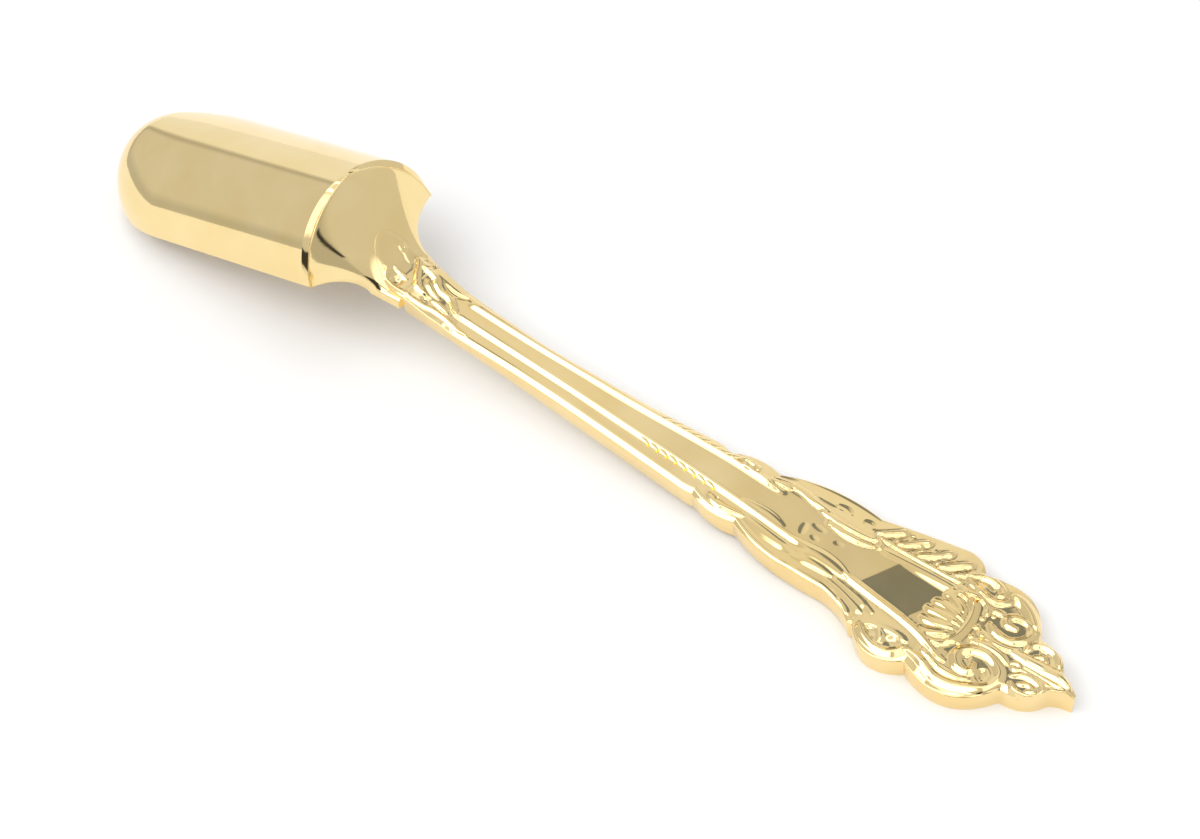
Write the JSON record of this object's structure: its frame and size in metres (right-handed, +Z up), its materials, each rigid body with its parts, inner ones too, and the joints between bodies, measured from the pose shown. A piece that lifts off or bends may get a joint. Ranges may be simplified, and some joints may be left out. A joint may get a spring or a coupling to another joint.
{
  "type": "sugar scoop",
  "caption": "Gold-plated sugar scoop with a half-round bowl and a scrollwork handle, lying face down",
  "frame": {"origin": "on the table under the middle of the overall box", "axes": "+X from the bowl's lip to the handle's tip, +Y to the side away from the picture's camera, +Z up"},
  "size_m": [0.1304, 0.0204, 0.0187],
  "materials": {
    "gold_plate": "polished gold plate",
    "braze": "brazing filler under gold plate"
  },
  "bodies": {
    "root": {"scoop_bowl": "gold_plate", "heel_plate": "gold_plate", "heel_braze": "braze", "neck_braze": "braze", "handle": "gold_plate"}
  },
  "joints": []
}
